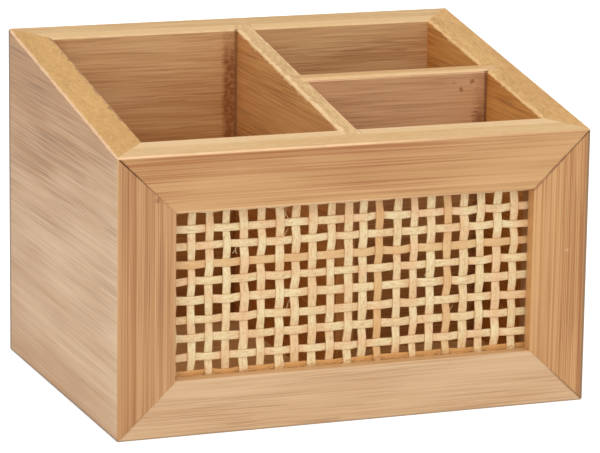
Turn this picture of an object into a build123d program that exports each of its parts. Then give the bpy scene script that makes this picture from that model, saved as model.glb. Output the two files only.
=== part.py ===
from build123d import *
import os

# Bathroom storage box of laminated bamboo with a woven cane front and three open compartments.
# Millimetres. The origin is on the surface that the box stands on, under the middle of the box.
# +X is to the right seen from the front, +Y is to the back, +Z is up.

# Outside of the box
width = 170.0
depth = 127.0
front_height = 96.0
back_height = 118.5
wall = 12.7
eased_edge = 0.5

# Base panel, let into a groove round the inside of the walls
base_height = 3.0
base_thickness = 5.0
base_groove = 4.0
base_clearance = 0.2

# Front frame round the cane
stile_width = 20.6
bottom_rail_width = 19.2
top_rail_width = 19.8
lip = 5.0
rabbet_width = 5.0

# Dividers, let into housings in what they meet
divider_thickness = 6.5
long_divider_offset = 0.5
cross_divider_offset = -0.8
wall_housing = 4.7
divider_housing = 2.0
housing_clearance = 0.05
divider_easing = 0.4

# Cane, a plain weave of flat strands
strand_width = 2.7
strand_thickness = 0.9
upright_pitch = 6.14
crosser_pitch = 6.28
first_upright_inset = 1.1
first_crosser_drop = 0.2
crossing_clearance = 0.06
crossing_margin = 0.15
seat_clearance = 0.05
strand_end_clearance = 0.8

# Beads that hold the cane in its rabbet
bead_width = 3.6

# Outer faces and inner faces of the walls
left, right = -width / 2, width / 2
front, back = -depth / 2, depth / 2
inner_left, inner_right = left + wall, right - wall
inner_front, inner_back = front + wall, back - wall

# The floor of the compartments
floor = base_height + base_thickness

# The opening in the front frame, and the rabbet behind it
opening_left, opening_right = left + stile_width, right - stile_width
opening_bottom, opening_top = bottom_rail_width, front_height - top_rail_width
rabbet_left, rabbet_right = opening_left - rabbet_width, opening_right + rabbet_width
rabbet_bottom, rabbet_top = opening_bottom - rabbet_width, opening_top + rabbet_width

# The weave, from the face of it that lies against the lip to its back
wave = (strand_thickness + crossing_clearance) / 2
weave_middle = front + lip + seat_clearance + wave + strand_thickness / 2
weave_back = weave_middle + wave + strand_thickness / 2
bead_front = weave_back + seat_clearance

# A height above everything, for tools that cut right through
above = back_height + wall


def rim_height(y):
    """Height of the sloping plane of the rim at a distance y from the middle."""
    return front_height + (back_height - front_height) * (y - front) / depth


def block(x_low, x_high, y_low, y_high, z_low, z_high):
    """A rectangular block between two opposite corners."""
    middle = Pos((x_low + x_high) / 2, (y_low + y_high) / 2, (z_low + z_high) / 2)
    return middle * Box(x_high - x_low, y_high - y_low, z_high - z_low)


def block_under_rim(x_low, x_high, y_low, y_high, z_low):
    """A block whose top lies in the sloping plane of the rim."""
    corners = [(y_low, z_low), (y_high, z_low), (y_high, rim_height(y_high)), (y_low, rim_height(y_low))]
    side = Plane.YZ * make_face(Polyline(*corners, close=True))
    return Pos(x_low, 0, 0) * extrude(side, amount=x_high - x_low)


def plan_wedge(corners):
    """An upright wedge with the given outline in plan, for cutting the mitres of the walls."""
    return extrude(make_face(Polyline(*corners, close=True)), amount=above)


def front_wedge(corners):
    """A wedge with the given outline seen from the front, as deep as the front wall."""
    outline = Plane.XZ * make_face(Polyline(*corners, close=True))
    return Pos(0, inner_front, 0) * extrude(outline, amount=wall)


def on_rim(edge):
    """Whether both ends of an edge lie in the sloping plane of the rim."""
    return all(abs(v.Z - rim_height(v.Y)) < 0.001 for v in edge.vertices())


def inside_walls(edge):
    """Whether an edge lies on the inner faces of the walls, seen in plan."""
    middle = edge.center()
    return inner_left - 0.001 < middle.X < inner_right + 0.001 and inner_front - 0.001 < middle.Y < inner_back + 0.001


def round_opening(edge):
    """Whether an edge is one of the four front edges of the opening."""
    middle = edge.center()
    in_width = opening_left - 0.001 < middle.X < opening_right + 0.001
    in_height = opening_bottom - 0.001 < middle.Z < opening_top + 0.001
    return abs(middle.Y - front) < 0.001 and in_width and in_height


def divider_housing_tool(x_low, x_high, y_low, y_high):
    """The space that a divider's end takes up in a wall, open at the rim."""
    return block(x_low, x_high, y_low, y_high, floor, above)


# The long divider runs from the back panel to the front frame.
long_left = long_divider_offset - divider_thickness / 2
long_right = long_divider_offset + divider_thickness / 2

# The cross divider runs from the long divider to the right side panel.
cross_front = cross_divider_offset - divider_thickness / 2
cross_back = cross_divider_offset + divider_thickness / 2


def make_carcass():
    """The four walls as one body with sanded edges, before they are cut apart at their mitres."""
    outside = block_under_rim(left, right, front, back, 0)
    outside = chamfer(outside.edges(), eased_edge)
    walls = outside - block(inner_left, inner_right, inner_front, inner_back, -1, above)
    walls = walls - block(opening_left, opening_right, front - 1, inner_front + 1, opening_bottom, opening_top)
    inner_rim = [edge for edge in walls.edges() if on_rim(edge) and inside_walls(edge)]
    opening_rim = [edge for edge in walls.edges() if round_opening(edge)]
    return chamfer(inner_rim + opening_rim, eased_edge)


def make_recesses():
    """What is cut out of the walls: base groove, cane rabbet and the housings of the dividers."""
    groove = block(
        inner_left - base_groove, inner_right + base_groove,
        inner_front - base_groove, inner_back + base_groove,
        base_height, floor,
    )
    rabbet = block(rabbet_left, rabbet_right, front + lip, inner_front + 1, rabbet_bottom, rabbet_top)
    back_housing = divider_housing_tool(
        long_left - housing_clearance, long_right + housing_clearance,
        inner_back - 1, inner_back + wall_housing + housing_clearance,
    )
    front_housing = divider_housing_tool(
        long_left - housing_clearance, long_right + housing_clearance,
        inner_front - wall_housing - housing_clearance, inner_front + 1,
    )
    side_housing = divider_housing_tool(
        inner_right - 1, inner_right + wall_housing + housing_clearance,
        cross_front - housing_clearance, cross_back + housing_clearance,
    )
    return groove + rabbet + back_housing + front_housing + side_housing


def make_wall_panels(walls):
    """The side and back panels, cut at the mitres in the corners of the box."""
    left_plan = [(left, front), (inner_left, inner_front), (inner_left, inner_back), (left, back)]
    right_plan = [(right, front), (inner_right, inner_front), (inner_right, inner_back), (right, back)]
    back_plan = [(left, back), (inner_left, inner_back), (inner_right, inner_back), (right, back)]
    return {
        "left_side_panel": walls & plan_wedge(left_plan),
        "right_side_panel": walls & plan_wedge(right_plan),
        "back_panel": walls & plan_wedge(back_plan),
    }


def make_front_frame(walls):
    """The four members of the front frame, mitred to each other and to the side panels."""
    front_plan = [(left, front), (inner_left, inner_front), (inner_right, inner_front), (right, front)]
    frame = walls & plan_wedge(front_plan)
    bottom_left, bottom_right = (opening_left, opening_bottom), (opening_right, opening_bottom)
    top_left, top_right = (opening_left, opening_top), (opening_right, opening_top)
    box_top_left, box_top_right = (left, front_height), (right, front_height)
    left_face = [(left, 0), bottom_left, top_left, box_top_left]
    right_face = [(right, 0), bottom_right, top_right, box_top_right]
    bottom_face = [(left, 0), bottom_left, bottom_right, (right, 0)]
    top_face = [box_top_left, top_left, top_right, box_top_right, (right, above), (left, above)]
    return {
        "front_left_stile": frame & front_wedge(left_face),
        "front_right_stile": frame & front_wedge(right_face),
        "front_bottom_rail": frame & front_wedge(bottom_face),
        "front_top_rail": frame & front_wedge(top_face),
    }


def make_base_panel():
    """The base panel, which stands on the lower side of its groove."""
    reach = base_groove - base_clearance
    return block(
        inner_left - reach, inner_right + reach,
        inner_front - reach, inner_back + reach,
        base_height, floor,
    )


def ease_top(divider):
    """Eases the two long top edges of a divider."""
    top_edges = [edge for edge in divider.edges() if on_rim(edge)]
    longest = max(edge.length for edge in top_edges)
    long_edges = [edge for edge in top_edges if edge.length > longest / 2]
    return chamfer(long_edges, divider_easing)


def make_long_divider():
    """The long divider, notched at its front end behind the cane and notched for the cross divider."""
    plate = block_under_rim(
        long_left, long_right,
        inner_front - wall_housing, inner_back + wall_housing,
        floor,
    )
    plate = ease_top(plate)
    cane_notch = block(
        long_left - 1, long_right + 1,
        front, inner_front,
        rabbet_bottom - housing_clearance, rabbet_top + housing_clearance,
    )
    cross_housing = divider_housing_tool(
        long_right - divider_housing - housing_clearance, long_right + 1,
        cross_front - housing_clearance, cross_back + housing_clearance,
    )
    return plate - cane_notch - cross_housing


def make_cross_divider():
    """The cross divider, let into the long divider and into the right side panel."""
    plate = block_under_rim(
        long_right - divider_housing, inner_right + wall_housing,
        cross_front, cross_back,
        floor,
    )
    return ease_top(plate)


def bead_wedge(corners):
    """A length of bead with mitred ends, seen from the front, that fills the rabbet behind the cane."""
    outline = Plane.XZ * make_face(Polyline(*corners, close=True))
    return Pos(0, inner_front, 0) * extrude(outline, amount=inner_front - bead_front)


def make_beads():
    """The four beads that clamp the ends of the strands against the lip of the frame."""
    bead_left, bead_right = rabbet_left + bead_width, rabbet_right - bead_width
    bead_bottom, bead_top = rabbet_bottom + bead_width, rabbet_top - bead_width
    outer = [(rabbet_left, rabbet_bottom), (rabbet_right, rabbet_bottom),
             (rabbet_right, rabbet_top), (rabbet_left, rabbet_top)]
    inner = [(bead_left, bead_bottom), (bead_right, bead_bottom),
             (bead_right, bead_top), (bead_left, bead_top)]
    names = ["cane_bead_bottom", "cane_bead_right", "cane_bead_top", "cane_bead_left"]
    beads = {}
    for side, name in enumerate(names):
        after = (side + 1) % 4
        beads[name] = bead_wedge([outer[side], outer[after], inner[after], inner[side]])
    return beads


def strand_outline(start, stop, crossings, starts_in_front):
    """Edge view of a strand along its length: flat over each crossing and sloping between them."""
    flat = strand_width / 2 + crossing_margin
    middle_line = []
    for place, crossing in enumerate(crossings):
        in_front = starts_in_front == (place % 2 == 0)
        offset = -wave if in_front else wave
        before = start if place == 0 else crossing - flat
        after = stop if place == len(crossings) - 1 else crossing + flat
        middle_line += [(before, offset), (after, offset)]
    near = [(along, offset - strand_thickness / 2) for along, offset in middle_line]
    far = [(along, offset + strand_thickness / 2) for along, offset in reversed(middle_line)]
    return make_face(Polyline(*near, *far, close=True))


def even_places(first, pitch, last):
    """Places at an even pitch from the first, as long as they stay before the last."""
    count = int(abs(last - first) / abs(pitch)) + 1
    return [first + pitch * step for step in range(count)]


# The middle lines of the strands. A last upright that the right stile would hide is left out.
upright_places = even_places(
    opening_left + first_upright_inset, upright_pitch, opening_right - strand_width / 2
)
crosser_places = even_places(opening_top - first_crosser_drop, -crosser_pitch, opening_bottom)


def make_uprights():
    """The upright strands, which pass in front of every second crosser."""
    low = rabbet_bottom + strand_end_clearance
    high = rabbet_top - strand_end_clearance
    crossings = sorted(crosser_places)
    uprights = {}
    for number, place in enumerate(upright_places):
        lowest_crosser = len(crossings) - 1
        in_front = (number + lowest_crosser) % 2 == 1
        edge_view = strand_outline(low, high, crossings, in_front)
        upright_plane = Plane(origin=(place + strand_width / 2, weave_middle, 0), x_dir=(0, 0, 1), z_dir=(-1, 0, 0))
        uprights[f"cane_upright_{number + 1:02d}"] = extrude(upright_plane * edge_view, amount=strand_width)
    return uprights


def make_crossers():
    """The crosswise strands, which pass in front of the uprights that pass behind them."""
    low = rabbet_left + strand_end_clearance
    high = rabbet_right - strand_end_clearance
    crossers = {}
    for number, place in enumerate(crosser_places):
        edge_view = strand_outline(low, high, upright_places, number % 2 == 0)
        crosser_plane = Plane(origin=(0, weave_middle, place - strand_width / 2), x_dir=(1, 0, 0), z_dir=(0, 0, 1))
        crossers[f"cane_crosser_{number + 1:02d}"] = extrude(crosser_plane * edge_view, amount=strand_width)
    return crossers


walls = make_carcass() - make_recesses()
pieces = {}
pieces.update(make_wall_panels(walls))
pieces.update(make_front_frame(walls))
pieces["base_panel"] = make_base_panel()
pieces["long_divider"] = make_long_divider()
pieces["cross_divider"] = make_cross_divider()
pieces.update(make_beads())
pieces.update(make_uprights())
pieces.update(make_crossers())

os.makedirs("parts", exist_ok=True)
for name, shape in pieces.items():
    export_step(shape, f"parts/{name}.step")
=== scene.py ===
from math import cos, pi, radians, sin

import bmesh
import bpy
import numpy as np
from mathutils import Matrix, Vector


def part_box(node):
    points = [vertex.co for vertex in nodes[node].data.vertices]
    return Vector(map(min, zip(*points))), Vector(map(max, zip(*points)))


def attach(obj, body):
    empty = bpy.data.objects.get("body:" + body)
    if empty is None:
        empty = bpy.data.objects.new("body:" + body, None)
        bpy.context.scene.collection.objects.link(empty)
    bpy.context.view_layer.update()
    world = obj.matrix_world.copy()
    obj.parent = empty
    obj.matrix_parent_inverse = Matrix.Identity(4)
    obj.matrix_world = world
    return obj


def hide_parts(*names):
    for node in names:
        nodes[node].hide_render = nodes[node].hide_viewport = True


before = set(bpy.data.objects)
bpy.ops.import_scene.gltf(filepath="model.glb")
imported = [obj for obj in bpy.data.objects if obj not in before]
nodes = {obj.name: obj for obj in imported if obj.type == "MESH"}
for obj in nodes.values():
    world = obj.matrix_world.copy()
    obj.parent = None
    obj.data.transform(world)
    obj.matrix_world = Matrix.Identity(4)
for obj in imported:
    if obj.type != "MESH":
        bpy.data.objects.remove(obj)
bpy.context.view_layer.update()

mm = 0.001


# Left side panel
# A board of bamboo strips glued side by side, with the grain from front to back.
# Its top is sawn along the slope of the rim, which shows the fibres cut at a slant, and its ends are mitred.

def paint(red, green, blue):
    """A colour given as display values from 0 to 255, as the linear values that shaders take."""
    display = np.array([red, green, blue]) / 255
    linear = np.where(display <= 0.04045, display / 12.92, ((display + 0.055) / 1.055) ** 2.4)
    return (*linear.tolist(), 1.0)


def add(tree, kind, inputs=None, **settings):
    """Adds a node with its settings. An input that is another node's socket is linked to it."""
    node = tree.nodes.new(kind)
    for name, value in settings.items():
        setattr(node, name, value)
    for name, value in (inputs or {}).items():
        if isinstance(value, bpy.types.NodeSocket):
            tree.links.new(value, node.inputs[name])
        else:
            node.inputs[name].default_value = value
    return node


def calc(tree, operation, first, second=0.0, third=0.0):
    """The result of a Math node."""
    return add(tree, "ShaderNodeMath", {0: first, 1: second, 2: third}, operation=operation).outputs[0]


def blend(tree, factor, first, second, mode="MIX"):
    """Two colours blended by a factor."""
    inputs = {"Factor": factor, 6: first, 7: second}
    return add(tree, "ShaderNodeMix", inputs, data_type="RGBA", blend_type=mode).outputs[2]


def stretch(tree, value, low, high, new_low=0.0, new_high=1.0):
    """A value rescaled from one range to another and held inside the new one."""
    inputs = {"Value": value, "From Min": low, "From Max": high, "To Min": new_low, "To Max": new_high}
    return add(tree, "ShaderNodeMapRange", inputs).outputs["Result"]


def product(tree, first, *others):
    """Values multiplied together."""
    for other in others:
        first = calc(tree, "MULTIPLY", first, other)
    return first


def vector(tree, x, y=0.0, z=0.0):
    """Three values as one vector."""
    return add(tree, "ShaderNodeCombineXYZ", {"X": x, "Y": y, "Z": z}).outputs[0]


def grain_noise(tree, grain, length, width, detail=0.0):
    """Noise in cells that are long with the grain and narrow both across it and into the wood."""
    cells = vector(tree, length, width, width)
    scaled = add(tree, "ShaderNodeVectorMath", {0: grain, 1: cells}, operation="DIVIDE").outputs[0]
    inputs = {"Vector": scaled, "Scale": 1.0, "Detail": detail, "Roughness": 0.6}
    return add(tree, "ShaderNodeTexNoise", inputs).outputs["Fac"]


def new_group(name, inputs, outputs):
    """A shader node group, and what its input node puts out. Each input has a number or else a kind."""
    tree = bpy.data.node_groups.new(name, "ShaderNodeTree")
    for label, value in inputs.items():
        kind = value if isinstance(value, str) else "Float"
        socket = tree.interface.new_socket(label, in_out="INPUT", socket_type=f"NodeSocket{kind}")
        if kind == "Float":
            socket.default_value = value
    for label, kind in outputs.items():
        tree.interface.new_socket(label, in_out="OUTPUT", socket_type=f"NodeSocket{kind}")
    return tree, tree.nodes.new("NodeGroupInput").outputs


def centred(tree, value, amount):
    """A value from 0 to 1 as a swing about nothing, times an amount."""
    return product(tree, calc(tree, "SUBTRACT", value, 0.5), amount)


def make_fibre_group():
    """Solid bamboo. The grain position is in millimetres, with X along the fibres and Y across the strips.

    The tone is the sum of broad bands, fine fibres, a soft mottle, a random tone for each strip and the
    shift that is given. Vessels are thin dark cells of noise above a limit, and a glue line lies where one
    strip ends and the next begins.
    """
    inputs = {"Grain": "Vector", "Pale": "Color", "Deep": "Color", "Vessel": "Color", "Shift": 0.0,
              "Strip Width": 18.0, "Strip Contrast": 0.0, "Glue Line": 0.0,
              "Band Length": 110.0, "Band Width": 2.6, "Band Contrast": 0.35,
              "Fibre Length": 45.0, "Fibre Width": 0.8, "Fibre Contrast": 0.5,
              "Vessel Length": 22.0, "Vessel Width": 0.4, "Vessel Limit": 0.60, "Vessel Amount": 0.5,
              "Mottle": 0.3}
    outputs = {"Color": "Color", "Roughness": "Float", "Height": "Float"}
    tree, given = new_group("bamboo fibres", inputs, outputs)

    place = add(tree, "ShaderNodeSeparateXYZ", {"Vector": given["Grain"]}).outputs
    drift = stretch(tree, grain_noise(tree, given["Grain"], 160.0, 25.0), 0.0, 1.0, -1.0, 1.0)
    across = calc(tree, "ADD", place["Y"], drift)
    strip_place = calc(tree, "DIVIDE", place["Y"], given["Strip Width"])
    strip = calc(tree, "FLOOR", strip_place)
    strip_tone = add(tree, "ShaderNodeTexWhiteNoise", {"W": strip}, noise_dimensions="1D").outputs["Value"]
    strip_slide = 400.0
    wood = vector(tree, calc(tree, "MULTIPLY_ADD", strip_tone, strip_slide, place["X"]), across, place["Z"])

    bands, fibres, cells = (
        grain_noise(tree, wood, given[f"{kind} Length"], given[f"{kind} Width"], detail)
        for kind, detail in (("Band", 1.0), ("Fibre", 2.0), ("Vessel", 0.0))
    )
    bands = stretch(tree, bands, 0.3, 0.7)
    fibres = stretch(tree, fibres, 0.3, 0.7)
    mottle = stretch(tree, grain_noise(tree, wood, 60.0, 14.0, 1.0), 0.35, 0.65)
    vessel = stretch(tree, calc(tree, "SUBTRACT", cells, given["Vessel Limit"]), 0.0, 0.05)
    vessel = product(tree, vessel, stretch(tree, mottle, 0.0, 1.0, 0.2, 1.0), given["Vessel Amount"])

    tone = calc(tree, "ADD", given["Shift"], 0.5)
    swings = {"Band Contrast": bands, "Fibre Contrast": fibres, "Mottle": mottle,
              "Strip Contrast": strip_tone}
    for amount, value in swings.items():
        tone = calc(tree, "ADD", tone, centred(tree, value, given[amount]))
    tone = add(tree, "ShaderNodeClamp", {"Value": tone}).outputs[0]
    color = blend(tree, tone, given["Pale"], given["Deep"])

    to_glue = calc(tree, "ABSOLUTE", calc(tree, "SUBTRACT", calc(tree, "FRACT", strip_place), 0.5))
    glue_distance = product(tree, calc(tree, "SUBTRACT", 0.5, to_glue), given["Strip Width"])
    glue = product(tree, stretch(tree, glue_distance, 0.10, 0.25, 1.0, 0.0), given["Glue Line"])
    dark = calc(tree, "MAXIMUM", vessel, glue)
    color = blend(tree, dark, color, given["Vessel"])

    roughness = stretch(tree, fibres, 0.0, 1.0, 0.44, 0.58)
    height = calc(tree, "MULTIPLY_ADD", dark, -1.0, fibres)
    add(tree, "NodeGroupOutput", {"Color": color, "Roughness": roughness, "Height": height})
    return tree


def make_joint_group():
    """The mark that a joint of the cane leaves across its fibres: a wavy dark band with paler eyes in it.

    The band is dark where the distance along the grain from its middle, moved to and fro by noise, is less
    than its half width. Finer noise makes its sides ragged, so that they run out in short streaks. The eyes
    are short cells of noise above a limit. Higher up it fades.
    """
    inputs = {"Grain": "Vector", "Middle": 0.0, "Half Width": 2.5, "Waviness": 1.0, "Raggedness": 0.3,
              "Faded Above": 200.0}
    tree, given = new_group("bamboo joint", inputs, {"Mask": "Float"})
    place = add(tree, "ShaderNodeSeparateXYZ", {"Vector": given["Grain"]}).outputs
    to_and_fro = centred(tree, grain_noise(tree, given["Grain"], 400.0, 4.0, 1.0), 6.0)
    moved = calc(tree, "MULTIPLY_ADD", to_and_fro, given["Waviness"], place["X"])
    streaks = centred(tree, grain_noise(tree, given["Grain"], 30.0, 0.8, 1.0), 6.0)
    moved = calc(tree, "MULTIPLY_ADD", streaks, given["Raggedness"], moved)
    distance = calc(tree, "ABSOLUTE", calc(tree, "SUBTRACT", moved, given["Middle"]))
    band = stretch(tree, calc(tree, "DIVIDE", distance, given["Half Width"]), 0.5, 1.1, 1.0, 0.0)
    eyes = stretch(tree, grain_noise(tree, given["Grain"], 1.6, 1.3), 0.44, 0.66, 1.0, 0.6)
    height = calc(tree, "SUBTRACT", place["Y"], given["Faded Above"])
    faded = stretch(tree, height, -8.0, 0.0, 1.0, 0.3)
    add(tree, "NodeGroupOutput", {"Mask": product(tree, band, eyes, faded)})
    return tree


def make_seam_group():
    """The dark line of a mitre on a face, from its outer corner along a way, with a side square to the way.

    It is dark where the distance to the line, moved a little by noise, is small, in patches that noise
    chooses. It starts inside the sanded corner and is faint outside the length over which the mitre is open.
    """
    inputs = {"Place": "Vector", "Corner": "Vector", "Way": "Vector", "Side": "Vector",
              "Open From": 0.0, "Open To": 10.0, "Darkness": 1.0}
    tree, given = new_group("mitre seam", inputs, {"Mask": "Float"})
    ends = {0: given["Place"], 1: given["Corner"]}
    offset = add(tree, "ShaderNodeVectorMath", ends, operation="SUBTRACT").outputs[0]
    along, aside = (
        add(tree, "ShaderNodeVectorMath", {0: offset, 1: way}, operation="DOT_PRODUCT").outputs["Value"]
        for way in (given["Way"], given["Side"])
    )
    wobble = centred(tree, grain_noise(tree, offset, 2.0, 2.0, 1.0), 0.5)
    distance = calc(tree, "ABSOLUTE", calc(tree, "ADD", aside, wobble))
    line = stretch(tree, distance, 0.05, 0.7, 1.0, 0.0)
    patches = stretch(tree, grain_noise(tree, offset, 3.5, 3.5, 1.0), 0.35, 0.55, 0.5, 1.0)
    start = stretch(tree, along, 0.9, 1.6)
    opening = stretch(tree, calc(tree, "SUBTRACT", along, given["Open From"]), -3.0, 3.0, 0.25, 1.0)
    closing = stretch(tree, calc(tree, "SUBTRACT", along, given["Open To"]), -3.0, 3.0, 1.0, 0.25)
    mask = product(tree, line, patches, start, opening, closing, given["Darkness"])
    add(tree, "NodeGroupOutput", {"Mask": mask})
    return tree


fibre_group = make_fibre_group()
joint_group = make_joint_group()
seam_group = make_seam_group()
seam_color = paint(140, 86, 46)
# The tint and the depth of the painted shade towards the base inside the box
painted_low_shade_tint = paint(232, 218, 164)
painted_low_shade_depth = 35.0


def mask_of(tree, group, *values):
    """The mask that a group puts out when its inputs, in their order, take the given values."""
    return add(tree, "ShaderNodeGroup", dict(enumerate(values)), node_tree=group).outputs["Mask"]


def new_material(name):
    """A material with nothing in it yet, and its node tree."""
    material = bpy.data.materials.new(name)
    material.use_nodes = True
    material.node_tree.nodes.clear()
    return material, material.node_tree


def place_in_mm(tree):
    """The place in the piece in millimetres, as a vector and in its three parts."""
    place = add(tree, "ShaderNodeTexCoord").outputs["Object"]
    scaled = add(tree, "ShaderNodeMapping", {"Vector": place, "Scale": (1 / mm,) * 3}).outputs[0]
    return scaled, add(tree, "ShaderNodeSeparateXYZ", {"Vector": scaled}).outputs


def stored(tree, name):
    """A value that the piece's mesh holds."""
    return add(tree, "ShaderNodeAttribute", attribute_name=name).outputs["Fac"]


def finish_surface(tree, color, roughness, height, strength, depth):
    """Ends a material with its shader and a fine relief."""
    bump = add(tree, "ShaderNodeBump", {"Height": height, "Strength": strength, "Distance": depth * mm})
    inputs = {"Base Color": color, "Roughness": roughness, "Normal": bump.outputs[0]}
    surface = add(tree, "ShaderNodeBsdfPrincipled", inputs)
    add(tree, "ShaderNodeOutputMaterial", {"Surface": surface.outputs[0]})


def bamboo(name, axes, pale, deep, vessel, rim_pale, rim_deep, arris, origin=(0, 0, 0), breaks=0.5,
           shift=None, rim_shift=None, rim_contrast=1.0, streakiness=None, highlight_and_wear=None, joint=None, ragged=(),
           torn_before=100.0, lines=(), seams=(), other_side=None, shaded_below=None,
           bands=(110.0, 2.6, 0.35), fibres=(45.0, 0.8, 0.5), vessels=(22.0, 0.4, 0.60, 0.5), **values):
    """Lacquered bamboo whose grain runs along the first of the three axes named, such as "YZX".

    The attributes rim and arris, stored on the piece's faces, choose the colours of the sawn rim and of the
    sanded edges, where a pale, uneven line stands both for broken fibres and for a painted highlight. The
    shifts are functions of the place in the piece that make the wood of its faces or of its rim paler or
    deeper there. Two more such functions give the share of the streaks that shows and of the pale line
    along the edges. The joint gives the values of a joint's mark, then how dark it is and its colour. Each
    ragged edge of the rim has its place along X, the way from it into the rim, how far its broken fibres
    reach, in millimetres, and their colour, which is painted shade where it is dark, and all of them end
    where the rim runs into a housing at the back. Each line along an edge, painted shade along the outline
    or in a corner, or painted light in a shaded recess, has two of the axes or D for the drop below the
    rim, the edge's places in these, a reach, a colour and a strength, and a blot on a face has a sixth
    value, how uneven its outline is. Each seam has the outer corner of a mitre, its way, the side square
    to that, the lengths between which it is open and how dark it is. The other side, past a middle along
    an axis, has three colours of its own and no mark of the joint. Below the height at which it is
    shaded, this side's faces are tinted more and more towards the base, as painted shade deep in the box.
    The bands and the fibres have a length, a width and a contrast, and the vessels a length, a width, a
    limit and an amount.
    """
    material, tree = new_material(name)
    scaled, place = place_in_mm(tree)
    real_grain = vector(tree, *(place[axis] for axis in axes))
    grain = add(tree, "ShaderNodeMapping", {"Vector": real_grain, "Location": origin}).outputs[0]
    rim = stored(tree, "rim")
    on_face = calc(tree, "SUBTRACT", 1.0, rim)
    this_side = 1.0
    if other_side:
        axis, middle, *other_colors = other_side
        this_side = stretch(tree, calc(tree, "SUBTRACT", place[axis], middle), -0.1, 0.1, 1.0, 0.0)
        both_sides = zip(other_colors, (pale, deep, vessel))
        pale, deep, vessel = (blend(tree, this_side, other, this) for other, this in both_sides)
    tone = centred(tree, grain_noise(tree, grain, 3.4, 1.3, 2.0), rim_contrast)
    if rim_shift:
        tone = calc(tree, "ADD", tone, rim_shift(tree, place))
    tone = product(tree, tone, rim)
    if shift:
        tone = calc(tree, "MULTIPLY_ADD", shift(tree, place), on_face, tone)
    labels = ("Band Length", "Band Width", "Band Contrast", "Fibre Length", "Fibre Width", "Fibre Contrast",
              "Vessel Length", "Vessel Width", "Vessel Limit", "Vessel Amount")
    values.update(zip(labels, (*bands, *fibres, *vessels)))
    shown = streakiness(tree, place) if streakiness else 1.0
    values["Fibre Contrast"] = product(tree, shown, values["Fibre Contrast"])
    values["Vessel Amount"] = product(tree, shown, values["Vessel Amount"], on_face)
    inputs = {"Grain": grain, "Shift": tone, "Pale": blend(tree, rim, pale, rim_pale),
              "Deep": blend(tree, rim, deep, rim_deep), "Vessel": vessel, **values}
    wood = add(tree, "ShaderNodeGroup", inputs, node_tree=fibre_group).outputs
    color = wood["Color"]
    # Painted shade: the faces deep in the box are tinted darker and warmer towards the base
    if shaded_below:
        low = stretch(tree, place["Z"], shaded_below - painted_low_shade_depth, shaded_below, 1.0, 0.0)
        color = blend(tree, product(tree, low, this_side, on_face), color, painted_low_shade_tint, "MULTIPLY")
    if joint:
        *shape, darkness, mark_color = joint
        mark = mask_of(tree, joint_group, real_grain, *shape)
        color = blend(tree, product(tree, mark, darkness, on_face, this_side), color, mark_color)
    # Sanded edges: a pale, broken line of worn fibres that is also a painted highlight
    broken = stretch(tree, grain_noise(tree, grain, 5.0, 1.5, 1.0), 0.40, 0.60, 1 - breaks, 1.0)
    wear_highlight_mask = product(tree, stored(tree, "arris"), highlight_and_wear(tree, place) if highlight_and_wear else 1.0, broken)
    color = blend(tree, wear_highlight_mask, color, arris)
    level = calc(tree, "MULTIPLY_ADD", place["Y"], rim_rise / rim_run, rim_level)
    drop = calc(tree, "SUBTRACT", level, place["Z"])
    where = {"X": place["X"], "Y": place["Y"], "Z": place["Z"], "D": drop}
    # Lines of painted shade along outlines and in corners, lines of painted light in shaded recesses, and
    # blots
    for pair, corner, reach, line_color, strength, *uneven in lines:
        offsets = [calc(tree, "SUBTRACT", where[axis], value) for axis, value in zip(pair, corner)]
        squares = [product(tree, offset, offset) for offset in offsets]
        distance = calc(tree, "SQRT", calc(tree, "ADD", *squares))
        if uneven:
            blot = grain_noise(tree, grain, 2.5, 0.9, 1.0)
            distance = calc(tree, "ADD", distance, centred(tree, blot, uneven[0]))
        painted_along = stretch(tree, distance, 0.5 * reach, reach, strength, 0.0)
        color = blend(tree, product(tree, painted_along, on_face), color, line_color)
    torn = grain_noise(tree, grain, 4.5, 2.5, 1.0)
    free = stretch(tree, place["Y"], torn_before - 0.2, torn_before + 0.2, 1.0, 0.0)
    # Ragged edges: pale broken fibres, or dark notches of painted shade where the colour is dark
    for edge_place, inwards, reach, torn_color in ragged:
        distance = product(tree, calc(tree, "SUBTRACT", place["X"], edge_place), inwards)
        past = calc(tree, "SUBTRACT", stretch(tree, torn, 0.34, 0.66, 0.2 * reach, reach), distance)
        on_top = stretch(tree, past, -0.3, 0.5, 0.0, 0.9)
        color = blend(tree, product(tree, on_top, rim, free), color, torn_color)
        past = calc(tree, "SUBTRACT", stretch(tree, torn, 0.40, 0.66, 0.2, 0.8 * reach), drop)
        beside = product(tree, stretch(tree, distance, 0.5, 0.7, 1.0, 0.0), on_face)
        beside = product(tree, stretch(tree, past, -0.2, 0.3, 0.0, 0.8), beside, free)
        color = blend(tree, beside, color, torn_color)
    for seam in seams:
        color = blend(tree, mask_of(tree, seam_group, scaled, *seam), color, seam_color)
    finish_surface(tree, color, wood["Roughness"], wood["Height"], 0.25, 0.05)
    return material


def housed_edge(edge, housed_in):
    """Whether the middle of an edge lies in the boxes of the nodes that the piece is let into."""
    middle = (edge.verts[0].co + edge.verts[1].co) / 2
    reach = 0.1 * mm
    return any(all(low[axis] - reach < middle[axis] < high[axis] + reach for axis in range(3))
               for low, high in map(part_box, housed_in))


narrow_width = 0.9 * mm


def in_mitre(face):
    """Whether a face is a mitre: broad, and slanting between two of the three directions."""
    least, middling, most = sorted(abs(part) for part in face.normal)
    return middling > 0.6 and least < 0.1 and 2 * face.calc_area() / face.calc_perimeter() > narrow_width


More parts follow.
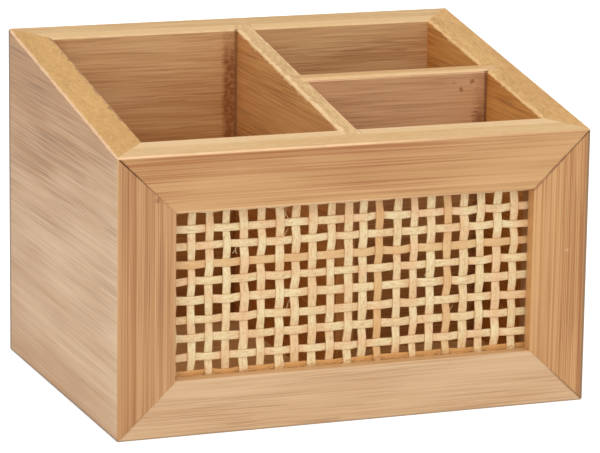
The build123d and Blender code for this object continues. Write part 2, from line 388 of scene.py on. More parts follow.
def fill_corner(form, start, end, inwards):
    """Adds a wedge that makes the top corner of a divider square again between two places along it.

    The dividers were sanded only where they stand free, so their corners are still sharp in the housings.
    Start and end are two coordinates of the corner, whose height is that of the rim, and inwards leads
    from it across the divider.
    """
    ends = []
    for x, y in (start, end):
        corner = Vector((x, y, rim_height(y)))
        across = corner + Vector((inwards[0], inwards[1], inwards[1] * rim_rise / rim_run)) * divider_easing
        below = corner - Vector((0, 0, divider_easing))
        ends.append([form.verts.new(point) for point in (corner, across, below)])
    near, far = ends
    faces = [near, far[::-1]] + [[near[a], far[a], far[b], near[b]] for a, b in ((0, 1), (1, 2), (2, 0))]
    made = [form.faces.new(corners) for corners in faces]
    bmesh.ops.recalc_face_normals(form, faces=made)


def store(mesh, label, domain, values):
    """Stores a value for each face or point of a mesh."""
    mesh.attributes.new(label, "FLOAT", domain).data.foreach_set("value", np.asarray(values, np.float32))


def put_in_scene(name, data):
    """An object with the given mesh, lamp or camera."""
    made = bpy.data.objects.new(name, data)
    bpy.context.scene.collection.objects.link(made)
    return made


def eased_copy(node, name, ease, housed_in, fills):
    """A copy of a node's solid with its points merged, its flat faces joined and its sharp edges rounded.

    Every edge that turns by more than 20 degrees gives way to a strip whose sides lie the given easing
    away from it, apart from the edges inside a housing and those of the mitres, which were sanded flush.
    Slivers at the corners are closed first, because they would hold the easing back. Easing a slanting
    corner can push a point out by a few hundredths of a millimetre, so all points are held inside the
    node's box. Faces in the plane of the rim and narrow faces along the edges are marked for the finish.
    """
    form = bmesh.new()
    form.from_mesh(nodes[node].data)
    bmesh.ops.remove_doubles(form, verts=form.verts, dist=0.001 * mm)
    bmesh.ops.dissolve_limit(form, angle_limit=radians(1), verts=form.verts, edges=form.edges)
    bmesh.ops.remove_doubles(form, verts=form.verts, dist=0.07 * mm)
    sharp = [edge for edge in form.edges if edge.is_manifold and edge.calc_face_angle() > radians(20)]
    sharp = [edge for edge in sharp if not housed_edge(edge, housed_in)]
    sharp = [edge for edge in sharp if not any(map(in_mitre, edge.link_faces))]
    bmesh.ops.bevel(form, geom=sharp, offset=ease, segments=2, profile=0.5, affect="EDGES",
                    clamp_overlap=True)
    eased_faces = len(form.faces)
    for start, end, inwards in fills:
        fill_corner(form, start, end, inwards)
    mesh = bpy.data.meshes.new(name)
    form.to_mesh(mesh)
    form.free()
    points = np.array([vertex.co for vertex in mesh.vertices])
    mesh.vertices.foreach_set("co", np.clip(points, *map(np.array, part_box(node))).ravel())
    mesh.update()

    normal = np.array([face.normal for face in mesh.polygons])
    area = np.array([face.area for face in mesh.polygons])
    outline = np.array([sum((mesh.vertices[a].co - mesh.vertices[b].co).length for a, b in face.edge_keys)
                        for face in mesh.polygons])
    narrow = 2 * area / outline < narrow_width
    narrow[eased_faces:] = False
    upright = np.abs(normal[:, 2]) < 0.2
    store(mesh, "rim", "FACE", (normal @ np.array(rim_normal) > cos(radians(4))) & ~narrow)
    store(mesh, "arris", "FACE", np.where(narrow, np.where(upright, 0.35, 1.0), 0.0))
    return put_in_scene(name, mesh)


def dress(piece, material, node=None):
    """Gives a piece its material, fixes it to the box and hides the node that it stands for, if any."""
    piece.data.materials.append(material)
    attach(piece, "root")
    if node:
        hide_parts(node)


def fit(node, name, ease, material, housed_in=(), fills=()):
    """Makes the finished piece that stands for a node."""
    dress(eased_copy(node, name, ease, housed_in, fills), material, node)


board_ease = 0.12 * mm
divider_easing = 0.4 * mm
left_low, left_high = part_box("left_side_panel")
front_low, front_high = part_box("front_top_rail")
rim_rise = left_high.z - front_high.z
rim_run = left_high.y - front_high.y
rim_normal = Vector((0, -rim_rise, rim_run)).normalized()


def rim_height(y):
    """The height of the rim, which rises evenly from the front to the back."""
    return front_high.z + (y - front_high.y) * rim_rise / rim_run


rim_level = rim_height(0.0) / mm
# Painted shade: a thin dark line along the outer edges of the box, against the white round it
painted_outline_shade = paint(128, 100, 72)


def deeper_at_back_and_top(tree, place):
    """The board is palest half way up and at its front. It deepens towards its back, its top and its foot."""
    tone = stretch(tree, place["Y"], 0.0, 60.0, 0.0, 0.2)
    others = ("Y", -62.0, -40.0, -0.2, 0.0), ("Z", 55.0, 112.0, -0.15, 0.58), ("Z", 1.0, 16.0, 0.4, 0.0)
    for axis, *ends in others:
        tone = calc(tree, "ADD", tone, stretch(tree, place[axis], *ends))
    return tone


def streakier_above(tree, place):
    """The upper half of the board is full of streaks, and its foot is almost plain."""
    return stretch(tree, place["Z"], 30.0, 85.0, 0.35, 0.9)


def worn_and_lit_above(tree, place):
    """The front left upright corner has wear and painted highlight at its top and stays dark at its foot."""
    return stretch(tree, place["Z"], 10.0, 50.0, 0.0, 1.0)


outer_colors = paint(227, 193, 153), paint(184, 134, 82), paint(138, 92, 46)
inner_colors = paint(232, 169, 91), paint(199, 129, 56), paint(136, 74, 24)
left_worn_lit_edge = paint(242, 196, 150)
left_middle = (left_low.x + left_high.x) / 2 / mm
left_bamboo = bamboo(
    "left side bamboo", "YZX", *outer_colors, other_side=("X", left_middle, *inner_colors),
    rim_pale=paint(223, 171, 90), rim_deep=paint(197, 142, 66), arris=left_worn_lit_edge,
    origin=(137, 0, 59), breaks=0.4, shift=deeper_at_back_and_top, rim_contrast=1.5,
    streakiness=streakier_above, highlight_and_wear=worn_and_lit_above,
    # The inner edge's dark notches are painted shade, the shaded inside showing past a ragged edge
    ragged=[(left_low.x / mm, 1.0, 1.1, left_worn_lit_edge), (left_high.x / mm, -1.0, 1.6, paint(158, 106, 52))],
    lines=[("XY", (left_low.x / mm, left_high.y / mm), 2.8, painted_outline_shade, 1.0),
           ("XZ", (left_low.x / mm, 0.0), 1.4, painted_outline_shade, 1.0)],
    bands=(110.0, 2.6, 0.3), fibres=(45.0, 0.4, 0.5), vessels=(45.0, 0.35, 0.57, 0.75),
)
fit("left_side_panel", "left_side_board", board_ease, left_bamboo)


# Right side panel and back panel
# Boards like the left one. The right one shows its rim and its inner face, the back one carries the
# highest part of the rim and has a joint of the bamboo cane beside the long divider.

right_low, right_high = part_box("right_side_panel")
back_low, back_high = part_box("back_panel")
ply = 5.0


def paler_inner_ply(tree, place):
    """The board is glued from two plies, and the one towards the compartments is paler on the rim."""
    return stretch(tree, place["Y"], back_low.y / mm + ply - 0.4, back_low.y / mm + ply + 0.4, -0.55, 0.2)


right_middle = (right_low.x + right_high.x) / 2 / mm
right_worn_lit_edge = paint(240, 194, 128)


def streakier_inside(tree, place):
    """The streaks show less on the outer side."""
    return stretch(tree, place["X"], right_middle, right_middle + 0.1, 1.0, 0.6)


def deeper_at_back(tree, place):
    """The board is deeper in colour behind the cross divider."""
    return stretch(tree, place["Y"], 5.0, 40.0, 0.0, 0.25)


short_bands = (70.0, 2.6, 0.35)
right_bamboo = bamboo(
    "right side bamboo", "YZX", *inner_colors, other_side=("X", right_middle, *outer_colors),
    shift=deeper_at_back, shaded_below=84.0, streakiness=streakier_inside,
    rim_pale=paint(226, 174, 94), rim_deep=paint(197, 141, 67), arris=right_worn_lit_edge,
    origin=(-61, 83, 12), breaks=0.7, ragged=[(right_low.x / mm, 1.0, 1.6, right_worn_lit_edge)],
    lines=[("XD", (right_high.x / mm, 0.0), 0.9, painted_outline_shade, 0.8)],
    bands=short_bands, fibres=(32.0, 0.6, 0.8), vessels=(30.0, 0.45, 0.57, 0.7),
)


back_middle = (back_low.y + back_high.y) / 2 / mm


def painted_shade_in_corner_and_low(tree, place):
    """Inside, painted shade darkens the wall in the corner beside the left side panel and towards the base.
    """
    in_corner = stretch(tree, place["X"], left_high.x / mm, left_high.x / mm + 6.0, 0.6, 0.0)
    darker = calc(tree, "ADD", in_corner, stretch(tree, place["Z"], 60.0, 110.0, 0.35, -0.05))
    return product(tree, darker, stretch(tree, place["Y"], back_middle, back_middle + 0.1, 1.0, 0.0))


# Painted shade in the inner corners where a divider meets a wall, standing also for the glue line there
painted_corner_shade = paint(124, 70, 24)
long_low, long_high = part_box("long_divider")
joint_beside_divider = (-5.6, 2.8, 0.35, 0.25, 113.0, 0.85, paint(134, 69, 8))
back_bamboo = bamboo(
    "back bamboo", "XZY", other_side=("Y", back_middle, *outer_colors), shaded_below=92.0,
    pale=paint(222, 177, 124), deep=paint(190, 136, 83), vessel=paint(130, 76, 32),
    rim_pale=paint(228, 186, 125), rim_deep=paint(204, 158, 95), arris=paint(240, 202, 146),
    origin=(24, -47, 91), breaks=0.25, shift=painted_shade_in_corner_and_low, rim_shift=paler_inner_ply,
    joint=joint_beside_divider,
    lines=[("YD", (back_high.y / mm, 0.0), 0.9, painted_outline_shade, 0.7),
           ("XY", (long_low.x / mm, back_low.y / mm), 1.3, painted_corner_shade, 0.65)],
    bands=short_bands, fibres=(26.0, 0.6, 0.75), vessels=(16.0, 0.5, 0.58, 0.35),
)
fit("right_side_panel", "right_side_board", board_ease, right_bamboo, ["cross_divider"])
fit("back_panel", "back_board", board_ease, back_bamboo, ["long_divider"])


# Front frame
# Two rails and two stiles of bamboo, each with its grain along its length, mitred at the corners.
# The stiles are cut across the glued strips, so these show as narrow upright bands of colour.

opening_left, opening_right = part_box("front_left_stile")[1].x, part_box("front_right_stile")[0].x
opening_bottom, opening_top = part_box("front_bottom_rail")[1].z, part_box("front_top_rail")[0].z
front_height = rim_height(front_low.y)


def mitre_seam(outer, inner, open_from, open_to, darkness):
    """The values of a mitre's seam, from its outer and inner corner as seen from the front."""
    corner = Vector((outer[0], front_low.y, outer[1])) / mm
    way = (Vector((inner[0], front_low.y, inner[1])) / mm - corner).normalized()
    return corner, way, Vector((way.z, 0, -way.x)), open_from, open_to, darkness


top_left_seam = mitre_seam((front_low.x, front_height), (opening_left, opening_top), 0.0, 11.0, 0.9)
top_right_seam = mitre_seam((front_high.x, front_height), (opening_right, opening_top), 10.0, 30.0, 0.8)
bottom_left_seam = mitre_seam((front_low.x, 0), (opening_left, opening_bottom), 2.0, 12.0, 0.4)
bottom_right_seam = mitre_seam((front_high.x, 0), (opening_right, opening_bottom), 3.0, 15.0, 0.4)

# Widths in millimetres, and how deep the colour is, of the strips in each stile from its outer edge inwards
left_strips = [(0.9, 0.55), (2.3, 0.6), (0.6, 1.0), (0.9, 0.35), (1.8, 0.8), (1.6, 0.1), (1.5, 0.4),
               (0.6, 0.85), (1.9, 0.35), (0.7, 0.6), (1.7, 0.1), (1.1, 0.55), (2.6, 0.2), (0.4, 0.6),
               (2.5, 0.2)]
right_strips = [(2.8, 0.7), (2.4, 0.35), (1.1, 0.5), (0.5, 0.8), (1.6, 0.45), (0.7, 0.9), (2.2, 0.4),
                (1.0, 0.75), (1.3, 0.3), (0.6, 0.7), (2.6, 0.4), (0.7, 0.75), (3.1, 0.3)]
strip_swing = 0.75
strip_bend = 0.5


def strip_tones(strips, outer_edge, direction):
    """A shift that follows the strips of a stile, which lie side by side from its outer edge inwards."""
    total = sum(width for width, tone in strips)

    def shift(tree, place):
        bend = centred(tree, grain_noise(tree, vector(tree, place["Z"]), 30.0, 1.0), strip_bend)
        inwards = product(tree, calc(tree, "SUBTRACT", place["X"], outer_edge / mm), direction)
        share = calc(tree, "DIVIDE", calc(tree, "ADD", inwards, bend), total)
        ramp = add(tree, "ShaderNodeValToRGB", {"Fac": share})
        ramp.color_ramp.interpolation = "CONSTANT"
        start = 0.0
        for number, (width, tone) in enumerate(strips):
            stop = ramp.color_ramp.elements[0] if number == 0 else ramp.color_ramp.elements.new(start / total)
            stop.color = (tone, tone, tone, 1.0)
            start += width
        ramp.color_ramp.elements.remove(ramp.color_ramp.elements[-1])
        return centred(tree, ramp.outputs["Color"], strip_swing)

    return shift


def paler_low_and_right(tree, place):
    """The lowest third of the top rail is a paler, plainer strip, and its right half is paler too."""
    lower = stretch(tree, place["Z"], 81.0, 83.0, -0.25, 0.05)
    return calc(tree, "ADD", lower, stretch(tree, place["X"], 0.0, 50.0, 0.08, -0.28))


def plainer_right(tree, place):
    """The streaks of the top rail thin out towards the right."""
    return stretch(tree, place["X"], -20.0, 50.0, 1.0, 0.45)


def less_worn_and_lit_right(tree, place):
    """The pale line along the front of the rim thins out towards the right."""
    return stretch(tree, place["X"], 0.0, 45.0, 1.0, 0.3)


def sill_unworn_and_unlit(tree, place):
    """The bottom rail has wear and painted highlight along its outer edges, but hardly along the opening."""
    return stretch(tree, place["Z"], 15.0, 18.0, 1.0, 0.15)


lip_middle = front_low.y / mm + 2.5


def paler_far_ply(tree, place):
    """The frame too is glued from two plies, and the one towards the compartments is paler on the rim."""
    far = front_high.y / mm - ply
    return stretch(tree, place["Y"], far - 0.4, far + 0.4, 0.15, -0.5)


frame_edges = {"rim_pale": paint(235, 195, 139), "rim_deep": paint(215, 169, 103), "rim_shift": paler_far_ply,
               "breaks": 0.15}
top_bamboo = bamboo(
    "top rail bamboo", "XZY", **frame_edges,
    pale=paint(219, 172, 116), deep=paint(186, 131, 79), vessel=paint(166, 98, 52),
    arris=paint(250, 206, 158), origin=(90, 10, 70),
    shift=paler_low_and_right, streakiness=plainer_right, highlight_and_wear=less_worn_and_lit_right,
    seams=[top_left_seam, top_right_seam], fibres=(60.0, 0.45, 0.6), vessels=(80.0, 0.45, 0.56, 0.85),
)
# Painted shade along the foot of the front, where the underside turns away from the light
painted_foot_shade = ("YZ", (front_low.y / mm, 0.0), 0.8, painted_outline_shade, 0.6)
bottom_bamboo = bamboo(
    "bottom rail bamboo", "XZY", **frame_edges,
    pale=paint(231, 195, 153), deep=paint(206, 163, 117), vessel=paint(166, 118, 80),
    arris=paint(238, 200, 154), origin=(-190, 30, 50),
    highlight_and_wear=sill_unworn_and_unlit, seams=[bottom_left_seam, bottom_right_seam],
    # Painted shade along the foot, and painted light on the shaded ledge of the sill under the cane
    lines=[painted_foot_shade, ("YZ", (lip_middle + 1.5, opening_bottom / mm), 4.0, paint(228, 180, 118), 0.5)],
    bands=(110.0, 2.6, 0.25), fibres=(50.0, 0.45, 0.55), vessels=(30.0, 0.4, 0.57, 0.45),
)
stile_look = {"bands": (110.0, 2.6, 0.1), "fibres": (120.0, 0.35, 0.6), "vessels": (60.0, 0.32, 0.57, 0.6),
              "Mottle": 0.15}
left_stile_bamboo = bamboo(
    "left stile bamboo", "ZXY", **frame_edges,
    pale=paint(214, 166, 114), deep=paint(170, 112, 64), vessel=paint(144, 86, 46),
    arris=paint(232, 192, 144), origin=(50, 80, -20), highlight_and_wear=worn_and_lit_above,
    shift=strip_tones(left_strips, front_low.x, 1.0), seams=[top_left_seam, bottom_left_seam],
    lines=[painted_foot_shade, ("XZ", (-71.0, 81.0), 1.3, paint(146, 92, 52), 0.6, 1.2)], **stile_look,
)
right_stile_bamboo = bamboo(
    "right stile bamboo", "ZXY", **frame_edges,
    pale=paint(224, 176, 118), deep=paint(188, 128, 74), vessel=paint(154, 90, 46),
    arris=paint(226, 178, 124), origin=(-90, 20, 40), shift=strip_tones(right_strips, front_high.x, -1.0),
    seams=[top_right_seam, bottom_right_seam],
    lines=[painted_foot_shade, ("XY", (front_high.x / mm, front_low.y / mm), 1.2, painted_outline_shade, 0.8),
           # Painted light that lifts the shaded reveal of the opening beside the cane
           ("XY", (opening_right / mm, lip_middle + 1.0), 3.8, paint(226, 172, 112), 0.4),
           ("XZ", (77.3, 54.1), 0.9, paint(232, 190, 140), 0.45, 0.8)], **stile_look,
)
frame_ease = 0.15 * mm
fit("front_top_rail", "top_rail", frame_ease, top_bamboo, ["long_divider"])
fit("front_bottom_rail", "bottom_rail", frame_ease, bottom_bamboo, ["long_divider"])
fit("front_left_stile", "left_stile", frame_ease, left_stile_bamboo)
fit("front_right_stile", "right_stile", frame_ease, right_stile_bamboo)


# Base panel
# A thin bamboo board let into a groove round the foot of the walls, with its grain from side to side.

base_bamboo = bamboo(
    "base bamboo", "XYZ",
    pale=paint(236, 190, 124), deep=paint(212, 158, 92), vessel=paint(150, 98, 48),
    rim_pale=paint(236, 190, 124), rim_deep=paint(212, 158, 92), arris=paint(238, 200, 146),
    **{"Glue Line": 0.4, "Strip Contrast": 0.3},
)
fit("base_panel", "base_board", board_ease, base_bamboo)


# Dividers
# Thin bamboo boards let into housings in the walls. Their sawn tops lie in the slope of the rim.

cross_low, cross_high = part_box("cross_divider")
long_worn_lit_edge = paint(248, 208, 151)
long_bamboo = bamboo(
    "long divider bamboo", "YZX",
    pale=paint(232, 175, 109), deep=paint(202, 138, 75), vessel=paint(148, 88, 42),
    rim_pale=paint(233, 192, 128), rim_deep=paint(198, 151, 88), arris=long_worn_lit_edge,
    origin=(30, 110, 20), breaks=0.6, torn_before=back_low.y / mm, shaded_below=84.0,
    ragged=[(long_low.x / mm, 1.0, 2.0, long_worn_lit_edge), (long_high.x / mm, -1.0, 1.0, long_worn_lit_edge)],
    lines=[("XY", (long_low.x / mm, back_low.y / mm), 1.0, painted_corner_shade, 0.5)],
    bands=short_bands, fibres=(36.0, 0.6, 0.8), vessels=(34.0, 0.4, 0.56, 0.6),
)


def paler_front_ply(tree, place):
    """The divider's rim is paler along its front, and deeper where it lies in the right side panel."""
    middle = (cross_low.y + cross_high.y) / 2 / mm
    front = stretch(tree, place["Y"], middle - 0.8, middle + 0.2, -0.45, 0.45)
    free = stretch(tree, place["X"], right_low.x / mm, right_low.x / mm + 1.0, 1.0, 0.0)
    return calc(tree, "MULTIPLY_ADD", calc(tree, "SUBTRACT", front, 0.3), free, 0.3)


joint_color = paint(126, 72, 22)
joint_beside_wall = (70.0, 3.2, 0.6, 1.4, 98.0, 0.75, joint_color)
# Across and up in millimetres, reach and darkness of the spots around the joint
spots = [(66.4, 103.3, 1.1, 0.7), (62.3, 100.2, 1.0, 0.65), (59.6, 103.0, 0.7, 0.25)]
spot_unevenness = 1.7
cross_lines = [("XY", (right_low.x / mm, cross_low.y / mm), 1.5, painted_corner_shade, 0.8)]
for across, up, reach, darkness in spots:
    cross_lines.append(("XZ", (across, up), reach, joint_color, darkness, spot_unevenness))
cross_bamboo = bamboo(
    "cross divider bamboo", "XZY",
    pale=paint(222, 174, 126), deep=paint(190, 138, 94), vessel=paint(134, 80, 40),
    rim_pale=paint(239, 195, 132), rim_deep=paint(212, 161, 95), arris=paint(250, 206, 151),
    origin=(130, -30, 90), breaks=0.3, rim_shift=paler_front_ply, joint=joint_beside_wall,
    shaded_below=84.0, lines=cross_lines,
    bands=short_bands, fibres=(30.0, 0.6, 0.75), vessels=(20.0, 0.45, 0.58, 0.4),
)


def corners_between(start, end, low, high, along):
    """The two top corners of a divider over a part of its length, along X or along Y, in a housing."""
    if along == "Y":
        return [((low.x, start), (low.x, end), (1, 0)), ((high.x, start), (high.x, end), (-1, 0))]
    return [((start, low.y), (end, low.y), (0, 1)), ((start, high.y), (end, high.y), (0, -1))]


long_fills = corners_between(back_low.y + 0.1 * mm, long_high.y, long_low, long_high, "Y")
long_fills += corners_between(long_low.y, front_high.y - 0.1 * mm, long_low, long_high, "Y")
cross_fills = corners_between(cross_low.x, long_high.x - 0.1 * mm, cross_low, cross_high, "X")
cross_fills += corners_between(right_low.x + 0.1 * mm, cross_high.x, cross_low, cross_high, "X")
fit("long_divider", "long_divider_board", board_ease, long_bamboo,
    ["front_top_rail", "front_bottom_rail", "back_panel"], long_fills)
fit("cross_divider", "cross_divider_board", board_ease, cross_bamboo,
    ["long_divider", "right_side_panel"], cross_fills)


# Beads
# Four square bamboo strips, mitred and glued into the rabbet behind the cane to hold its edges.

bead_colors = {"pale": paint(214, 166, 112), "deep": paint(184, 132, 84), "vessel": paint(142, 92, 50),
               "rim_pale": paint(214, 166, 112), "rim_deep": paint(184, 132, 84),
               "arris": paint(226, 184, 132)}
bead_ease = 0.3 * mm
for axes, sides in (("ZXY", ("left", "right")), ("XZY", ("top", "bottom"))):
    bead_bamboo = bamboo(f"{sides[0]} and {sides[1]} bead bamboo", axes, **bead_colors)
    for side in sides:
        fit(f"cane_bead_{side}", f"{side}_bead", bead_ease, bead_bamboo)


# Cane
# Flat strands peeled from rattan, woven one over and one under by hand, so no strand is quite straight
# or quite even. Each has a smooth, slightly domed skin, and its ends are held between lip and bead.

strand_width = 2.85 * mm
strand_thickness = 0.7 * mm
wave = 0.42 * mm
steps_between_crossings = 12
seed = 20


def strand_places(kind, axis, aside):
    """The nodes of all strands of a kind, in order, and where the strands lie, in part pushed aside."""
    names = sorted(name for name in nodes if name.startswith(f"cane_{kind}_"))
    centres = np.array([(low[axis] + high[axis]) / 2 for low, high in map(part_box, names)])
    return names, centres + np.array([aside.get(number, 0.0) for number in range(len(names))]) * mm


# How far the weaver pushed some strands, uprights counted from the left and crossers from the top
uprights, upright_places = strand_places("upright", 0, {0: -0.7, 6: 0.5, 9: 0.4, 10: 0.7, 11: -0.2, 12: -0.7})
crossers, crosser_places = strand_places("crosser", 2, {1: -0.5, 4: 0.5, 5: 0.4, 8: -0.4})
weave_low, weave_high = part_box(uprights[0])
weave_middle = (weave_low.y + weave_high.y) / 2


def pushed(along, crossings, chance, size):
    """A sideways place that is pushed by chance at each crossing and eases from one crossing to the next."""
    pushes = chance.normal(0.0, size, len(crossings))
    place = np.interp(along, crossings, np.arange(len(crossings)))
    step = np.minimum(place.astype(int), len(crossings) - 2)
    part = place - step
    ease = part * part * (3 - 2 * part)
    return pushes[step] * (1 - ease) + pushes[step + 1] * ease


strand_sides = 14


def strand_surface(middle, sideways, outwards, width):
    """A closed strip: an oval section carried along a line of middle points, and how near an edge each is.

    The section is a superellipse: its half width and half thickness times the cosine and sine of the
    angle, each raised to a power that flattens the faces and keeps the edges thin and round.
    """
    angle = np.linspace(0, 2 * pi, strand_sides, endpoint=False)
    flat = np.sign(np.cos(angle)) * np.abs(np.cos(angle)) ** 0.35
    domed = np.sign(np.sin(angle)) * np.abs(np.sin(angle)) ** 0.7
    points = (
        middle[:, None, :]
        + sideways[:, None, :] * (width[:, None] * flat[None, :] / 2)[:, :, None]
        + outwards[:, None, :] * (strand_thickness * domed / 2)[None, :, None]
    )
    rings, around = points.shape[:2]
    ring, turn = np.meshgrid(np.arange(rings - 1), np.arange(around), indexing="ij")
    after = (turn + 1) % around
    faces = np.stack([ring * around + turn, ring * around + after,
                      (ring + 1) * around + after, (ring + 1) * around + turn], axis=-1).reshape(-1, 4)
    caps = [tuple(range(around))[::-1], tuple(range((rings - 1) * around, rings * around))]
    return points.reshape(-1, 3), faces.tolist() + caps, np.tile(np.abs(np.cos(angle)), rings)


def closed_mesh(name, points, faces):
    """A mesh of points and faces that all face outwards."""
    mesh = bpy.data.meshes.new(name)
    mesh.from_pydata(points.tolist(), [], faces)
    form = bmesh.new()
    form.from_mesh(mesh)
    bmesh.ops.recalc_face_normals(form, faces=form.faces)
    form.to_mesh(mesh)
    form.free()
    return mesh


def make_strand(name, node, axis, along, side, height, width, tone):
    """Builds a strand from its run along an axis, its sideways place and its place in the depth."""
    middle = np.zeros((len(along), 3))
    middle[:, axis] = along
    middle[:, 2 - axis] = side
    middle[:, 1] = height
    ahead = np.gradient(middle, axis=0)
    ahead /= np.linalg.norm(ahead, axis=1, keepdims=True)
    sideways = np.cross(ahead, [0.0, 1.0, 0.0])
    sideways /= np.linalg.norm(sideways, axis=1, keepdims=True)
    points, faces, edge = strand_surface(middle, sideways, np.cross(sideways, ahead), width)
    mesh = closed_mesh(name, points, faces)
    store(mesh, "tone", "POINT", np.full(len(points), tone))
    store(mesh, "edge", "POINT", edge)
    for face in mesh.polygons:
        face.use_smooth = True
    dress(put_in_scene(name, mesh), cane_skins[axis], node)


def cane_material(name, along, across):
    """Peeled cane: one tone for each strand, blushes of pink, fine fibres along it, and darker edges,
    partly cut fibres and partly painted shade on the rounded flanks.
    """
    material, tree = new_material(name)
    scaled, place = place_in_mm(tree)
    grain = vector(tree, place[along], place[across], place["Y"])
    blush = add(tree, "ShaderNodeTexNoise", {"Vector": scaled, "Scale": 0.12, "Detail": 1.0}).outputs["Fac"]
    fibres = grain_noise(tree, grain, 6.0, 0.5, 1.0)
    speck = grain_noise(tree, grain, 1.6, 0.8, 1.0)
    color = blend(tree, stretch(tree, blush, 0.42, 0.60), paint(250, 232, 184), paint(246, 208, 162))
    color = blend(tree, stretch(tree, fibres, 0.35, 0.70, 0.0, 0.55), color, paint(222, 184, 130))
    color = blend(tree, stretch(tree, speck, 0.52, 0.72, 0.0, 0.5), color, paint(200, 158, 102))
    # Darker edges of each strand: partly the cut fibres, partly painted shade on its flanks
    color = blend(tree, stretch(tree, stored(tree, "edge"), 0.6, 1.0, 0.0, 0.45), color, paint(196, 148, 92))
    color = blend(tree, stored(tree, "tone"), color, paint(218, 160, 90))
    finish_surface(tree, color, 0.55, fibres, 0.3, 0.06)
    return material


cane_skins = {0: cane_material("cane of the crossers", "X", "Z"),
              2: cane_material("cane of the uprights", "Z", "X")}
chance = np.random.default_rng(seed)


def weave(kind, axis, strands, places, crossings, first_under, spread, widths, honey):
    """Makes all strands of a kind, which run along an axis and lie sideways where their places say.

    The place in the depth is that of the weave's middle, less the wave times the cosine of half a turn
    for each crossing. It is in front at the first crossing where the numbers of the two strands, and of
    the first that goes under, add up to an even number. Honey holds the strands of a deeper tone.
    """
    rows = np.sort(crossings)
    first = np.argmin(crossings) + first_under
    for number, node in enumerate(strands):
        low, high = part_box(node)
        along = np.linspace(low[axis], high[axis], steps_between_crossings * (len(rows) + 1))
        phase = np.interp(along, rows, np.arange(len(rows)))
        in_front = 1.0 if (number + first) % 2 == 0 else -1.0
        height = weave_middle - in_front * wave * np.cos(pi * phase)
        side = places[number] + pushed(along, rows, chance, spread)
        width = strand_width * chance.uniform(*widths) * (1 + pushed(along, rows, chance, 0.04))
        tone = honey.get(number, 0.0) + chance.uniform(0.0, 0.14)
        make_strand(f"{kind}_strand_{number + 1:02d}", node, axis, along, side, height, width, tone)


weave("upright", 2, uprights, upright_places, crosser_places, 1, 0.14 * mm, (0.92, 1.14),
      {12: 0.55, 16: 0.45})
weave("crosser", 0, crossers, crosser_places, upright_places, 0, 0.12 * mm, (0.94, 1.08),
      {2: 0.08, 3: 0.5, 9: 0.9})


def hair(root, angle, length, thickness, bend):
    """A thin square hair that starts at a root in the plane of the weave and bends evenly to one side.

    Its middle line leaves the root at the given angle from upright, and each point is pushed square to
    that by the bend times the square of its share of the length. It thins towards its tip.
    """
    share = np.linspace(0.0, 1.0, 7)
    way, square = np.array([sin(angle), 0.0, cos(angle)]), np.array([cos(angle), 0.0, -sin(angle)])
    middle = root + way * (length * share)[:, None] + square * (bend * share**2)[:, None]
    half = (thickness / 2 * (1 - 0.7 * share))[:, None, None]
    corners = np.array([square - [0, 1, 0], square + [0, 1, 0], -square + [0, 1, 0], -square - [0, 1, 0]])
    points = (middle[:, None, :] + half * corners[None, :, :]).reshape(-1, 3)
    faces = [(4 * step + turn, 4 * step + (turn + 1) % 4, 4 * step + 4 + (turn + 1) % 4, 4 * step + 4 + turn)
             for step in range(len(share) - 1) for turn in range(4)]
    last = 4 * (len(share) - 1)
    return points, faces + [(0, 1, 2, 3), (last + 3, last + 2, last + 1, last)]


def stray_fibres():
    """Hairs torn from the strands, a few across the holes and many along the foot of the weave."""
    front_of_weave = weave_low.y + 0.2 * mm
    # Across and up in millimetres, the angle from upright in degrees and the length of each loose hair
    loose = [(-24.8, 71.2, 20, 3.6), (-23.4, 71.0, -35, 3.0), (-25.0, 64.6, 30, 3.2), (-43.0, 60.2, 40, 3.4),
             (-41.6, 60.0, -20, 2.6), (27.2, 66.6, 25, 3.0), (28.8, 66.4, -30, 2.4), (26.4, 47.4, 35, 2.8),
             (-25.2, 39.2, -25, 4.2), (-23.6, 39.6, 10, 3.4), (35.6, 33.8, 30, 3.2)]
    hairs = [hair(np.array([across * mm, front_of_weave, up * mm]), radians(angle), length * mm, 0.16 * mm,
                  chance.uniform(-0.6, 0.6) * mm) for across, up, angle, length in loose]
    for across in np.arange(opening_left + 0.5 * mm, opening_right - 2.5 * mm, 1.3 * mm):
        root = np.array([across + chance.uniform(-0.5, 0.5) * mm,
                         front_of_weave - chance.uniform(0.0, 0.5) * mm,
                         opening_bottom + chance.uniform(0.1, 1.0) * mm])
        hairs.append(hair(root, radians(chance.uniform(60, 115)), chance.uniform(1.2, 3.0) * mm, 0.3 * mm,
                          chance.uniform(-0.4, 0.4) * mm))
    points, faces = [], []
    for hair_points, hair_faces in hairs:
        start = sum(map(len, points))
        points.append(hair_points)
        faces += [tuple(start + corner for corner in face) for face in hair_faces]
    mesh = closed_mesh("stray_fibres", np.concatenate(points), faces)
    golden = [0.2] * len(loose) + [0.75] * (len(hairs) - len(loose))
    store(mesh, "tone", "POINT", np.repeat(golden, len(points[0])))
    dress(put_in_scene("stray_fibres", mesh), cane_skins[2])


stray_fibres()


# Floor, backdrop and light
# A white floor that keeps the soft shadow under the box, a white surround, and one broad soft lamp.

def seen_directly(tree):
    """Whether a ray comes from the camera, from a reflection or through glass."""
    path = add(tree, "ShaderNodeLightPath").outputs
    seen = calc(tree, "MAXIMUM", path["Is Camera Ray"], path["Is Glossy Ray"])
    return calc(tree, "MAXIMUM", seen, path["Is Transmission Ray"])


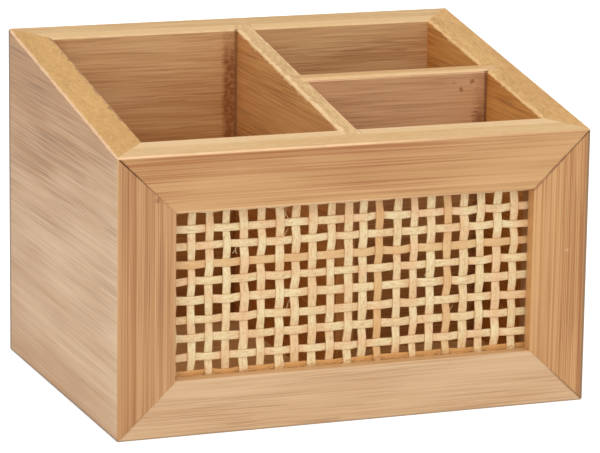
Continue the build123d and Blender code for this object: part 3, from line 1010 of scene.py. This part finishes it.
def floor_material():
    """White paper that the camera and reflections see brighter than it lights the box."""
    material, tree = new_material("white floor")
    paper = add(tree, "ShaderNodeBsdfDiffuse", {"Color": paint(230, 230, 230)})
    inputs = {"Color": paint(255, 255, 255), "Strength": product(tree, seen_directly(tree), 0.6)}
    lift = add(tree, "ShaderNodeEmission", inputs)
    both = add(tree, "ShaderNodeAddShader", {0: paper.outputs[0], 1: lift.outputs[0]})
    add(tree, "ShaderNodeOutputMaterial", {"Surface": both.outputs[0]})
    return material


floor_half = 3.0
floor_mesh = bpy.data.meshes.new("floor")
floor_corners = [(floor_half * x, floor_half * y, 0) for x, y in ((-1, -1), (1, -1), (1, 1), (-1, 1))]
floor_mesh.from_pydata(floor_corners, [], [(0, 1, 2, 3)])
floor = put_in_scene("floor", floor_mesh)
floor.data.materials.append(floor_material())

world = bpy.data.worlds.new("white surround")
bpy.context.scene.world = world
world.use_nodes = True
sky = world.node_tree
sky.nodes.clear()
sky_strength = stretch(sky, seen_directly(sky), 0.0, 1.0, 0.82, 1.0)
sky_light = add(sky, "ShaderNodeBackground", {"Color": paint(255, 255, 255), "Strength": sky_strength})
add(sky, "ShaderNodeOutputWorld", {"Surface": sky_light.outputs[0]})


def soft_lamp(name, azimuth, elevation, distance, size, power):
    """A square lamp that faces the box from a bearing, in degrees to the right of the front, and a height."""
    turn, rise = radians(azimuth), radians(elevation)
    towards = Vector((sin(turn) * cos(rise), -cos(turn) * cos(rise), sin(rise)))
    lamp = bpy.data.lights.new(name, "AREA")
    lamp.size = size
    lamp.energy = power
    piece = put_in_scene(name, lamp)
    piece.location = Vector((0, 0, 0.06)) + towards * distance
    piece.rotation_euler = towards.to_track_quat("Z", "Y").to_euler()


soft_lamp("key lamp", azimuth=-25, elevation=28, distance=2.0, size=1.3, power=10)


# Camera
# Low and a little to the left of the box, with a long lens, as the photograph was taken.

camera_place = (-0.41606, -1.09123, 0.31711)
camera_azimuth = radians(21.02)
camera_elevation = radians(12.70)
camera_roll = radians(0.79)
camera = bpy.data.cameras.new("camera")
camera.lens = 203.6
camera.sensor_width = 36
camera.clip_start = 0.05
camera_object = put_in_scene("camera", camera)
camera_object.matrix_world = (
    Matrix.Translation(camera_place)
    @ Matrix.Rotation(-camera_azimuth, 4, "Z")
    @ Matrix.Rotation(pi / 2 - camera_elevation, 4, "X")
    @ Matrix.Rotation(camera_roll, 4, "Z")
)
bpy.context.scene.camera = camera_object
bpy.context.scene.view_settings.view_transform = "Standard"
